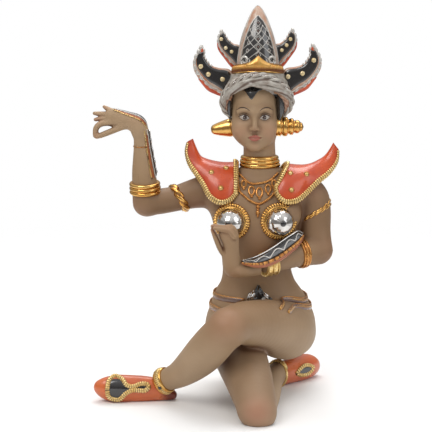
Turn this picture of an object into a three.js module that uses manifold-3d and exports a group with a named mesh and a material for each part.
// A porcelain dancer about 38 cm tall, cast and fired in one piece. She sits on folded, crossed legs,
// one arm raised to the side and one bent across her waist, with a pointed crown of four flame wings,
// shoulder wings, ear plugs, bands, belt and pointed shoes that all belong to the same casting.
// Millimetres, +Z up, the front faces -Y. Limbs are measured from the spine, which stands at X = 0.
import * as THREE from "three";
import { mergeVertices } from "three/addons/utils/BufferGeometryUtils.js";
import Module from "manifold-3d";

// Driving dimensions
const CROWN_TOP = 378.5;
const SPINE_X = 38.95;
const SPINE_Y = 37.95;
const HEAD_X = -2.5;
const CROWN_BASE = 304;
const CROWN_X = 0.8;
const CROWN_Y = -3;
const WING_THICKNESS = 5.5;
const WING_TILT = 0.015;
const BAND_PROUD = 1.8;
const CUP_RADIUS = 12.2;
const CUP_RING_RADIUS = 17.4;
const EAR_PLUG_LENGTH = 25.4;
const EAR_PLUG_RADIUS = 9.6;
const FINGER_RADIUS = 2.9;

const ACROSS = new THREE.Vector3(1, 0, 0);
const UPRIGHT = new THREE.Vector3(0, 0, 1);

const wasm = await Module();
wasm.setup();

// Limb stations: x, y, z, half width and half depth, from one end to the other

const TORSO = [
  [5.8, 6, 42, 40, 27],
  [5.7, 7, 54, 49.4, 35],
  [5.4, 7, 70, 52.2, 38],
  [4.6, 6, 85.5, 49, 35],
  [3.3, 5, 99, 42.7, 29.5],
  [2.4, 4, 109, 36.6, 26],
  [1.3, 3, 120.5, 33.8, 24],
  [0.9, 2, 134, 34.6, 25],
  [0.8, 1, 147, 37.6, 27],
  [0.4, 1, 160, 40.8, 28.5],
  [-0.2, 1, 173, 43.4, 29],
  [-0.8, 2, 186, 47.2, 27],
  [1, 3, 198, 47, 24],
  [3.4, 4, 209, 37, 18.5],
  [4, 4, 219, 24, 15],
];

const NECK = [
  [4.2, 4, 212, 20.8, 16],
  [3.8, 3, 221, 17.9, 15.4],
  [3.3, 1, 231, 15.9, 14.8],
  [2.9, -1, 241, 15.4, 14.8],
  [2.4, -2, 252, 15.4, 16],
];

const HEAD = [
  [HEAD_X + 1, -17, 241.5, 6, 8],
  [HEAD_X + 0.8, -14, 245, 12.5, 13],
  [HEAD_X + 0.8, -9.5, 250, 18.6, 18.5],
  [HEAD_X + 0.2, -5.5, 256, 21.9, 22.5],
  [HEAD_X, -2.5, 264, 23.4, 26],
  [HEAD_X, -0.5, 275, 23.8, 28],
  [HEAD_X, 1, 286, 23.8, 29],
  [HEAD_X, 2, 297, 22.5, 27.5],
  [HEAD_X, 3, 307, 18, 22],
];

const RIGHT_UPPER_ARM = [
  [-38, 3, 200, 15, 14],
  [-52, 3, 197.6, 14.8, 14],
  [-64.7, 2, 194.8, 13.2, 12.6],
  [-79, 0, 191.2, 11.8, 11.6],
  [-94, -2, 188.8, 11.9, 11.6],
  [-105.8, -4, 188.2, 12.1, 12],
];

const RIGHT_FOREARM = [
  [-107.2, -4, 187.2, 12.4, 12],
  [-107.9, -5, 198.5, 12.6, 12.1],
  [-108.7, -6, 209.4, 12, 11.5],
  [-109.5, -7, 220.3, 11, 10.4],
  [-110, -8, 232, 9.5, 9],
  [-110.6, -9, 243, 8.1, 7.8],
  [-111.2, -10, 252.7, 7.4, 7.2],
  [-112.6, -11, 259.5, 7.4, 7.2],
];

const LEFT_UPPER_ARM = [
  [46, 3, 201, 15.6, 15],
  [55.4, 3, 191.5, 15.6, 15],
  [57.2, 2, 177, 15.8, 14],
  [57.8, 0, 162, 15, 13],
  [59.4, -3, 150.6, 14, 12.8],
  [61.2, -6, 141, 13.6, 12.8],
];

const LEFT_FOREARM = [
  [60.6, -6.5, 140.8, 12.9, 12.4],
  [48.5, -13, 139.9, 13, 12.3],
  [36.4, -20, 138.7, 12, 11.2],
  [23.5, -28, 136.2, 10.6, 9.8],
  [10.7, -36, 133.6, 9.4, 8.4],
  [-1.1, -43.5, 132, 8.6, 7.6],
  [-12, -49, 131.4, 8.4, 7.2],
];

const TOP_THIGH = [
  [34, 10, 54.5, 25, 26.5],
  [27.8, -10, 61.4, 28.6, 28],
  [14, -34, 70.7, 26.4, 26.5],
  [-1.2, -58, 79.4, 22.8, 24],
  [-15.9, -80, 85.4, 19.6, 21],
  [-26.6, -96, 86.4, 17.6, 18.5],
];

const TOP_SHIN = [
  [-28.6, -99, 85.2, 17, 18],
  [-38.8, -92, 72.2, 18.4, 18.8],
  [-50, -81.6, 57, 18.4, 18],
  [-61.6, -69.4, 42.8, 16.2, 15],
  [-73.8, -57, 30.2, 13, 11.8],
  [-85.6, -46, 21.8, 10.8, 9.6],
  [-92, -42, 18, 10.6, 9.4],
];

const BOTTOM_THIGH = [
  [-22, 4, 57, 26, 28],
  [-19.8, -22, 49.7, 25.6, 26],
  [-14.2, -50, 41.2, 24, 25],
  [-8.4, -76, 30.8, 21.8, 22.8],
  [-4, -99, 20.4, 19.2, 20],
  [-2.2, -114, 12.6, 17.4, 17],
];

const BOTTOM_SHIN = [
  [0, -114, 9, 16, 16.4],
  [4, -86, 10, 14.6, 16.4],
  [8.6, -58, 10.8, 13.8, 15.6],
  [13, -32, 11.4, 12, 14.8],
  [17.4, -8, 12.2, 10.4, 13.4],
  [23, 9, 13, 9.6, 12.8],
];

const LEFT_SHOE = [
  [-81.6, -40, 4.6, 4.6, 4.8],
  [-88, -40.3, 7.2, 8, 7.2],
  [-97, -41, 10.2, 10.8, 8.8],
  [-108, -42, 11.4, 12.4, 9.4],
  [-121.6, -43, 11.8, 13.2, 9.8],
  [-134, -44, 12, 13.6, 9.8],
  [-144.4, -45, 12.8, 11.2, 8.6],
  [-151, -45, 13.8, 7.4, 6],
  [-154, -45, 14.4, 3.5, 3],
];

const RIGHT_SHOE = [
  [21, 4, 12, 10.4, 8],
  [29, 12.5, 12.4, 12, 9.4],
  [37, 21, 12.6, 13, 10],
  [45.6, 29.6, 12.6, 13.6, 10.2],
  [53.6, 37.2, 12.2, 12.8, 9.6],
  [60, 43.2, 11, 9.6, 7.4],
  [63.6, 46.6, 9.8, 5, 4.4],
];

// One solid from a mesh whose like corners are merged
function solidOf(geometry) {
  const bare = new THREE.BufferGeometry();
  bare.setAttribute("position", geometry.getAttribute("position"));
  if (geometry.index) bare.setIndex(geometry.index);
  const merged = mergeVertices(bare, 1e-3);
  return new wasm.Manifold(
    new wasm.Mesh({
      numProp: 3,
      vertProperties: new Float32Array(merged.getAttribute("position").array),
      triVerts: new Uint32Array(merged.index.array),
    }),
  );
}

// Skins a row of rings, each with the same number of points, and closes both ends with fans
function ringSolid(rings) {
  const sides = rings[0].length;
  const points = rings.flat();
  const faces = [];
  for (let row = 0; row + 1 < rings.length; row++) {
    for (let i = 0; i < sides; i++) {
      const a = row * sides + i;
      const b = row * sides + ((i + 1) % sides);
      faces.push(a, b, b + sides, a, b + sides, a + sides);
    }
  }
  for (const row of [0, rings.length - 1]) {
    const hub = points.length;
    const centre = new THREE.Vector3();
    rings[row].forEach((p) => centre.add(p));
    points.push(centre.divideScalar(sides));
    for (let i = 0; i < sides; i++) {
      const a = row * sides + i;
      const b = row * sides + ((i + 1) % sides);
      if (row === 0) faces.push(hub, b, a);
      else faces.push(hub, a, b);
    }
  }
  const geometry = new THREE.BufferGeometry().setFromPoints(points);
  geometry.setIndex(faces);
  const made = solidOf(geometry);
  if (made.volume() > 0) return made;
  for (let i = 0; i < faces.length; i += 3) [faces[i + 1], faces[i + 2]] = [faces[i + 2], faces[i + 1]];
  geometry.setIndex(faces);
  return solidOf(geometry);
}

// Where a limb is at t, from 0 to 1: its centre, direction, the two axes of its section and their sizes.
// Sections stand square to the path, or to a fixed axis where one is given.
function along(stations, t, side = ACROSS, axis = null) {
  const path = new THREE.CatmullRomCurve3(stations.map((s) => new THREE.Vector3(...s)), false, "catmullrom");
  const sizes = new THREE.CatmullRomCurve3(
    stations.map((s) => new THREE.Vector3(s[3], s[4], 0)),
    false,
    "catmullrom",
  );
  const direction = axis ? axis.clone() : path.getTangent(t);
  const wide = side.clone().addScaledVector(direction, -side.dot(direction)).normalize();
  const deep = new THREE.Vector3().crossVectors(direction, wide);
  const size = sizes.getPoint(t);
  return { centre: path.getPoint(t), direction, wide, deep, width: size.x, depth: size.y };
}

// A section's ring, grown by proud, shrunk by scale and moved along the limb by shift
function section(at, sides, { proud = 0, scale = 1, shift = 0, square = 2 } = {}) {
  const ring = [];
  for (let i = 0; i < sides; i++) {
    const angle = (2 * Math.PI * i) / sides;
    const [c, s] = [Math.cos(angle), Math.sin(angle)];
    const x = Math.sign(c) * Math.abs(c) ** (2 / square) * (at.width + proud) * scale;
    const y = Math.sign(s) * Math.abs(s) ** (2 / square) * (at.depth + proud) * scale;
    ring.push(
      at.centre
        .clone()
        .addScaledVector(at.wide, x)
        .addScaledVector(at.deep, y)
        .addScaledVector(at.direction, shift),
    );
  }
  return ring;
}

// A limb with rounded ends, skinned through its stations
function limb(stations, options = {}) {
  const { sides = 10, rings = 6, side = ACROSS, axis = null, square = 2, start = 0.7, end = 0.7 } = options;
  const turns = options.turns ?? [35, 70];
  const rows = [];
  const first = along(stations, 0, side, axis);
  const last = along(stations, 1, side, axis);
  for (const turn of start ? turns.toReversed() : []) {
    const angle = THREE.MathUtils.degToRad(turn);
    const shift = -Math.sin(angle) * start * Math.min(first.width, first.depth);
    rows.push(section(first, sides, { scale: Math.cos(angle), shift, square }));
  }
  for (let i = 0; i <= rings; i++) {
    rows.push(section(along(stations, i / rings, side, axis), sides, { square }));
  }
  for (const turn of end ? turns : []) {
    const angle = THREE.MathUtils.degToRad(turn);
    const shift = Math.sin(angle) * end * Math.min(last.width, last.depth);
    rows.push(section(last, sides, { scale: Math.cos(angle), shift, square }));
  }
  return ringSolid(rows);
}

// A raised band round a limb from t = from to t = to, with a number of round ribs
function band(stations, from, to, options = {}) {
  const { ribs = 1, sides = 10, side = ACROSS, axis = null, proud = BAND_PROUD, square = 2 } = options;
  const steps = ribs * 2;
  const rows = [];
  for (let i = 0; i <= steps; i++) {
    const rise = Math.abs(Math.sin((Math.PI * ribs * i) / steps));
    const at = along(stations, from + ((to - from) * i) / steps, side, axis);
    rows.push(section(at, sides, { proud: proud * (0.25 + 0.75 * rise), square }));
  }
  return ringSolid(rows);
}

// A round bar through points, thinner at its ends by taper
function bar(points, radius, { sides = 5, rings = 3, taper = 0.85, side = UPRIGHT } = {}) {
  const stations = points.map((p, i) => {
    const r = radius * (1 - (1 - taper) * (i / (points.length - 1)));
    return [...p, r, r];
  });
  return limb(stations, { sides, rings, side, start: 0, end: 0.9, turns: [52] });
}

const joined = (solids) => solids.reduce((all, next) => all.add(next));

function placed(geometry, position, rotation = [0, 0, 0], scale = [1, 1, 1]) {
  geometry.scale(...scale);
  geometry.rotateX(rotation[0]);
  geometry.rotateY(rotation[1]);
  geometry.rotateZ(rotation[2]);
  geometry.translate(...position);
  return solidOf(geometry);
}

// The bare figure: trunk, neck, head, arms and legs
function body() {
  const buttock = (x, size) =>
    placed(new THREE.SphereGeometry(size, 10, 6), [x, 19, 60], [Math.PI / 2, 0, 0], [1, 1.05, 1]);
  return joined([
    limb(TORSO, { sides: 16, rings: 12, axis: UPRIGHT, square: 2.2, start: 0.4, end: 0 }),
    limb(NECK, { sides: 10, rings: 2, start: 0, end: 0 }),
    limb(HEAD, { sides: 16, rings: 8, axis: UPRIGHT, start: 0.3, end: 0, square: 2.1 }),
    limb(RIGHT_UPPER_ARM, { rings: 5, side: UPRIGHT }),
    limb(RIGHT_FOREARM, { rings: 6, end: 0 }),
    limb(LEFT_UPPER_ARM, { rings: 5 }),
    limb(LEFT_FOREARM, { rings: 5, side: UPRIGHT, end: 0 }),
    limb(TOP_THIGH, { sides: 12, rings: 5, side: UPRIGHT }),
    limb(TOP_SHIN, { sides: 12, side: UPRIGHT, end: 0 }),
    limb(BOTTOM_THIGH, { sides: 12, rings: 5 }),
    limb(BOTTOM_SHIN, { sides: 12, rings: 5, end: 0.6 }),
    buttock(-20, 29),
    buttock(31, 29),
  ]);
}

// The plain face has only its nose in relief
function face() {
  return bar([[HEAD_X, -27.5, 276], [HEAD_X, -29.4, 268], [HEAD_X, -31.4, 262.4]], 2.5, { taper: 1.3, sides: 6 });
}

// The raised hand: the wrist folds to the side, thumb and first finger meet in a ring
function raisedHand() {
  const palm = [
    [-112.4, -11, 258.5, 7.6, 7.2],
    [-115.6, -12, 265.6, 9, 7.2],
    [-124.3, -12, 268.5, 8.1, 6.2],
    [-131.7, -12, 269.7, 8.8, 5.2],
    [-139.5, -12, 272, 8.4, 4.2],
    [-143, -12, 273.2, 7.4, 3.4],
  ];
  return joined([
    limb(palm, { sides: 8, side: UPRIGHT, start: 0.8, end: 0.4 }),
    bar([[-137, -12.5, 267], [-148.4, -15, 266.2], [-153.6, -16, 262.6], [-154.8, -16, 257.4], [-155.2, -16, 254.4]], FINGER_RADIUS + 0.3),
    bar([[-128, -13, 263.4], [-137, -15, 259.8], [-148.5, -17, 255.4], [-153.6, -17, 253.2]], FINGER_RADIUS + 0.3),
    bar([[-138, -12, 271], [-149.6, -12.4, 270.5], [-155, -12.4, 269.7]], FINGER_RADIUS),
    bar([[-138, -11.4, 275], [-150, -11, 275.4], [-156, -11, 276]], FINGER_RADIUS),
    bar([[-135, -10.5, 276.6], [-143, -10, 280.2], [-146.6, -10, 282.3]], FINGER_RADIUS - 0.2),
  ]);
}

// The lowered hand stands on the wrist before the breast, its fingers folded over to the side
function loweredHand() {
  const palm = [
    [-12, -49, 131.4, 8.4, 7.2],
    [-22, -51.6, 131.6, 9, 8],
    [-24.8, -54, 141, 8.6, 7.6],
    [-24.6, -56, 150, 7.2, 7],
    [-25.4, -57.4, 158, 7.8, 7],
    [-27, -58.6, 165, 9, 6.8],
    [-28.6, -59, 169, 8.6, 6],
  ];
  const finger = (y, lift, reach) =>
    bar([[-22, y, 164], [-27, y - 0.6, 170.4 + lift], [-34.6, y, 172 + lift], [reach, y, 173.4 + lift]], FINGER_RADIUS);
  return joined([
    limb(palm, { sides: 8, start: 0.8, end: 0.4 }),
    finger(-64.5, -0.4, -40.6),
    finger(-60, 0.6, -42.6),
    finger(-55.6, 0.2, -41.6),
    finger(-51.6, -1.2, -39.6),
    bar([[-26, -54, 139], [-34, -57, 149.6], [-38.6, -59.4, 160], [-42.6, -59.6, 170.6]], FINGER_RADIUS),
  ]);
}

// Shoes with pointed toes
function shoes() {
  return joined([
    limb(LEFT_SHOE, { sides: 10, rings: 8, side: UPRIGHT, start: 0, end: 0.8 }),
    limb(RIGHT_SHOE, { sides: 10, rings: 6, side: UPRIGHT, start: 0, end: 0.8 }),
  ]);
}

// The four flame wings of the crown, drawn once for each pair as distance from the axis and height
function crownWings() {
  const outer = [
    [22, 306], [26, 317], [36.6, 319.2], [43.4, 321.4], [47.8, 326], [50.6, 331], [50.6, 336],
    [53.2, 339.6], [57.2, 334.6], [61.2, 327], [61.4, 318.6], [57.8, 311], [51.6, 302.4], [45.4, 296.8], [34, 289],
  ];
  const inner = [
    [12, 326], [16.4, 339.6], [22.4, 342.2], [27.4, 346.2], [30.2, 351],
    [33.8, 354.8], [37.2, 348.4], [38.2, 342], [36.8, 336], [31.4, 328.4], [25.6, 321], [18, 314],
  ];
  const wing = (outline, handed) => {
    const shape = new THREE.Shape();
    shape.moveTo(...outline[0]);
    shape.splineThru([...outline.slice(1), outline[0]].map((p) => new THREE.Vector2(...p)));
    const geometry = new THREE.ExtrudeGeometry(shape, {
      depth: WING_THICKNESS,
      bevelEnabled: false,
      curveSegments: 2,
    });
    geometry.rotateX(Math.PI / 2);
    geometry.translate(0, WING_THICKNESS / 2, 0);
    if (handed < 0) geometry.rotateZ(Math.PI);
    geometry.translate(0, 0, -CROWN_BASE);
    geometry.rotateY(-WING_TILT);
    geometry.translate(CROWN_X, CROWN_Y, CROWN_BASE);
    return solidOf(geometry);
  };
  return joined([wing(outer, 1), wing(outer, -1), wing(inner, 1), wing(inner, -1)]);
}

// The crown's pointed cone on its cap, with the rolled band that frames the face
function crown() {
  const coneProfile = [
    [0, 304], [20.3, 304], [20.2, 322], [18.6, 335], [15.4, 349], [10.9, 361], [5.2, 372], [0, CROWN_TOP],
  ];
  const cone = new THREE.LatheGeometry(coneProfile.map((p) => new THREE.Vector2(...p)), 14);
  const cap = [
    [0.8, 12, 271, 21, 17],
    [0.8, 11, 279, 28.4, 21],
    [0.9, 8, 289, 32.6, 25],
    [0.8, 3, 299, 32, 26],
    [0.8, 0, 309, 27, 26],
    [0.8, -2, 316, 23.4, 23.4],
    [0.8, -3, 321, 20.4, 20.4],
  ];
  const roll = [
    [-20, -4, 271.5], [-27, -8, 277.4], [-31.4, -13, 286.4], [-31.2, -20, 297], [-23.8, -26, 305.6],
    [-12, -30, 310.6], [0.4, -31, 312], [12.8, -30, 310.6], [25, -26, 305.6], [33, -20, 297],
    [33.2, -13, 286.4], [29.4, -8, 278.4], [22.6, -4, 273],
  ];
  const beadBand = [
    [CROWN_X, -3, 312.6, 24, 24],
    [CROWN_X, -3, 316, 24.4, 24.4],
    [CROWN_X, -3, 320, 22.6, 22.6],
  ];
  return joined([
    placed(cone, [CROWN_X, CROWN_Y, 0], [Math.PI / 2, 0, 0]),
    limb(cap, { sides: 14, rings: 6, axis: UPRIGHT, start: 0.3, end: 0 }),
    limb(roll.map((p) => [...p, 4.6, 5.2]), { sides: 5, rings: 16, side: new THREE.Vector3(0, 1, 0), start: 0, end: 0 }),
    limb(beadBand, { sides: 14, rings: 2, axis: UPRIGHT, start: 0, end: 0 }),
  ]);
}

// Ribbed cones through the ears
function earPlugs() {
  const profile = [[0, -4], [0.9, -4], [0.96, 3], [0.94, 8], [0.88, 12], [0.74, 16], [0.56, 21], [0, 23]];
  const plug = (x, z, reach, turn) => {
    const points = profile.map(([r, length]) => new THREE.Vector2(r * EAR_PLUG_RADIUS, (length * reach) / 23));
    return placed(new THREE.LatheGeometry(points, 9), [x, -6, z], [Math.PI / 2, turn, 0]);
  };
  return joined([
    plug(-21, 261.9, EAR_PLUG_LENGTH - 2.4, -Math.PI / 2 - 0.12),
    plug(20.6, 262.6, EAR_PLUG_LENGTH, Math.PI / 2 + 0.02),
  ]);
}

// Shoulder wings: a rounded half section runs from the neck side to a horn that turns up. Each station
// gives the ridge's x and z, the hem's x and z, and how far the hem stands before and behind the ridge.
function shoulderWings() {
  const ridgeY = 2;
  const right = [
    [-18.7, 227, -19, 199, 21], [-24.6, 226.4, -25.8, 192, 27], [-33.3, 226.5, -35.4, 190, 29.5],
    [-42.1, 228, -45, 195.3, 26], [-49, 230, -51.7, 207, 19], [-53.8, 232.6, -58.6, 216.6, 13.5],
    [-56.9, 237.8, -65.6, 226.6, 9], [-59.3, 243.4, -68.6, 237.4, 5.5], [-61.6, 249.2, -66.8, 247, 2.4],
  ];
  const left = [
    [29.1, 225, 17.6, 206.4, 21], [34, 224.6, 18.3, 198.5, 27], [39.8, 224, 25.9, 191, 29.5],
    [46.7, 224, 37.7, 191.4, 26], [53.5, 225.4, 47.7, 198.2, 19], [60.3, 228.6, 59, 208.4, 13.5],
    [66.1, 232.4, 70.8, 217.6, 9], [70.6, 238, 78.6, 228.2, 5.5], [75, 245.6, 80, 239.8, 2.4],
  ];
  const wing = (stations) =>
    ringSolid(
      stations.map(([ridgeX, ridgeZ, hemX, hemZ, spread]) => {
        const ring = [];
        for (let i = 0; i <= 8; i++) {
          const angle = -Math.PI / 2 + (Math.PI * i) / 8;
          const [c, s] = [Math.cos(angle), Math.sin(angle)];
          ring.push(
            new THREE.Vector3(hemX + (ridgeX - hemX) * c, ridgeY + s * spread, hemZ + (ridgeZ - hemZ) * c),
          );
        }
        return ring;
      }),
    );
  return joined([wing(right), wing(left)]);
}

// Breast cups, each a dome and knob in a round beaded ring, and the pendant collar above them
function chestOrnaments() {
  const profile = [
    [0, -14], [17, -13], [CUP_RING_RADIUS, 0], [CUP_RING_RADIUS + 1.4, 3.2], [CUP_RING_RADIUS, 6.2], [13.4, 6],
    [CUP_RADIUS, 9], [10.6, 14], [7, 17.8], [2.6, 19.6], [0, 21.4],
  ];
  const cup = (x, z, turn) => {
    const points = profile.map((p) => new THREE.Vector2(...p));
    return placed(new THREE.LatheGeometry(points, 12), [x - turn * 20, -23, z], [Math.PI, 0, turn]);
  };
  const collar = new THREE.TorusGeometry(21, 4.4, 4, 12);
  const pendant = new THREE.SphereGeometry(9.6, 8, 5);
  return joined([
    cup(-27.8, 176, -0.2),
    cup(24.8, 177.8, 0.2),
    placed(collar, [2.4, -5, 206], [-0.5, 0, 0], [1, 1, 0.8]),
    placed(pendant, [0.6, -21, 198], [0, 0, 0], [1.5, 0.4, 1]),
  ]);
}

// Gold bands, belt and clasp
function bands() {
  const belt = { sides: 16, axis: UPRIGHT, proud: 1.6, square: 2.2 };
  return joined([
    band(NECK, 0.26, 0.58, { ribs: 3, sides: 10, proud: 2.6 }),
    band(RIGHT_UPPER_ARM, 0.52, 0.6, { side: UPRIGHT }),
    band(RIGHT_FOREARM, 0.13, 0.27, { ribs: 3 }),
    band(LEFT_UPPER_ARM, 0.36, 0.43),
    band(LEFT_FOREARM, 0.2, 0.26, { side: UPRIGHT }),
    band(LEFT_FOREARM, 0.6, 0.72, { side: UPRIGHT, ribs: 2 }),
    band(TOP_SHIN, 0.9, 0.97, { side: UPRIGHT, proud: 1.2, sides: 12 }),
    band(TORSO, 0.245, 0.285, belt),
    band(TORSO, 0.19, 0.225, belt),
    placed(new THREE.SphereGeometry(11, 8, 6), [2.6, -24, 101], [0, 0, 0], [1, 0.62, 0.9]),
  ]);
}

// Winged cuffs: a blade that stands off the outer side of each forearm and fades out at both ends
function cuffs() {
  const blade = (stations, from, to, side, lean, rise) => {
    const rows = [];
    const steps = 7;
    for (let i = 0; i <= steps; i++) {
      const at = along(stations, from + ((to - from) * i) / steps, side);
      const swell = Math.sin((Math.PI * (i + 0.7)) / (steps + 1.4));
      const out = at.wide.clone().multiplyScalar(Math.cos(lean)).addScaledVector(at.deep, Math.sin(lean));
      const flat = new THREE.Vector3().crossVectors(at.direction, out);
      const reach = at.width + rise * swell;
      const corners = [[0.5, 3.2], [0.9, 3], [1, 1], [1, -1], [0.9, -3], [0.5, -3.2]];
      rows.push(
        corners.map(([share, across]) =>
          at.centre.clone().addScaledVector(out, reach * share).addScaledVector(flat, across),
        ),
      );
    }
    return ringSolid(rows);
  };
  return joined([
    blade(RIGHT_FOREARM, 0.3, 0.98, ACROSS, 0, 1.2),
    blade(LEFT_FOREARM, 0.12, 0.86, UPRIGHT, 0, 5),
  ]);
}

// The whole casting, cut flat where it stands
function figurine() {
  const floor = placed(new THREE.BoxGeometry(600, 600, 60), [0, 0, -30]);
  return joined([
    body(),
    face(),
    raisedHand(),
    loweredHand(),
    shoes(),
    crown(),
    crownWings(),
    earPlugs(),
    shoulderWings(),
    chestOrnaments(),
    bands(),
    cuffs(),
  ]).subtract(floor);
}

const cast = figurine().getMesh();
const geometry = new THREE.BufferGeometry();
geometry.setAttribute("position", new THREE.BufferAttribute(new Float32Array(cast.vertProperties), 3));
geometry.setIndex(new THREE.BufferAttribute(new Uint32Array(cast.triVerts), 1));
geometry.computeVertexNormals();

const bisque = new THREE.MeshStandardMaterial({ color: 0xa0805f, roughness: 0.62, metalness: 0 });
const dancer = new THREE.Mesh(geometry, bisque);
dancer.name = "dancer_figurine";
dancer.position.set(SPINE_X, SPINE_Y, 0);

const part = new THREE.Group();
part.add(dancer);

export default part;
